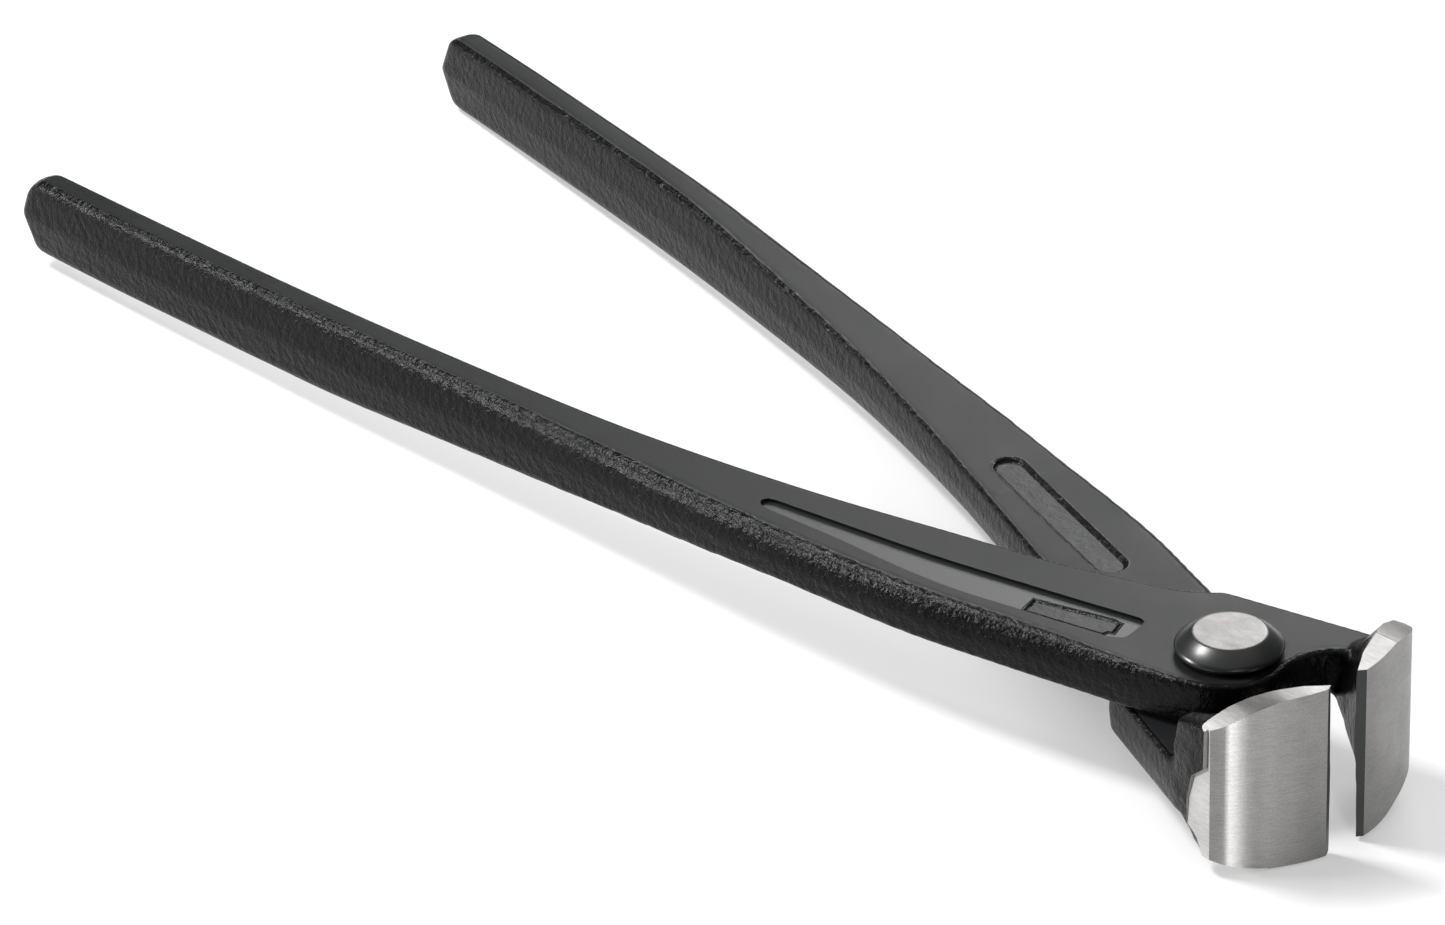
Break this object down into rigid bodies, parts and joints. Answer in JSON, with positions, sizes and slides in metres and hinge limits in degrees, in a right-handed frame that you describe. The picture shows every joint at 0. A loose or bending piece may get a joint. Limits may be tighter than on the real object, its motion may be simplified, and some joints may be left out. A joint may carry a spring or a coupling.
{
  "type": "end-cutting nippers",
  "caption": "Hand-operated end-cutting nippers: forged levers laid on each other on a rivet, for twisting and cutting tie wire.",
  "frame": {"origin": "centre of the rivet's lower flat face, on the pivot axis", "axes": "+X from the rivet towards the jaws, +Z along the rivet from the lower lever to the upper lever, +Y to the side of the upper lever's jaw"},
  "size_m": [0.2435, 0.084, 0.0254],
  "materials": {
    "forged_steel": "black oxide over forged steel, satin on the flat faces and pebbled on the sides",
    "ground_steel": "bare ground and brushed tool steel on the jaws",
    "rivet_steel": "steel rivet, black on the head's flank and ground bright on its flat"
  },
  "bodies": {
    "lower": {"lower_lever": "forged_steel", "pivot_rivet": "rivet_steel"},
    "upper": {"upper_lever": "forged_steel"}
  },
  "joints": [
    {"name": "jaw_pivot", "type": "hinge", "parent": "lower", "child": "upper", "pos_m": [0, 0, 0.00985], "axis": [0, 0, 1], "range_deg": [-9.3, 30]}
  ]
}
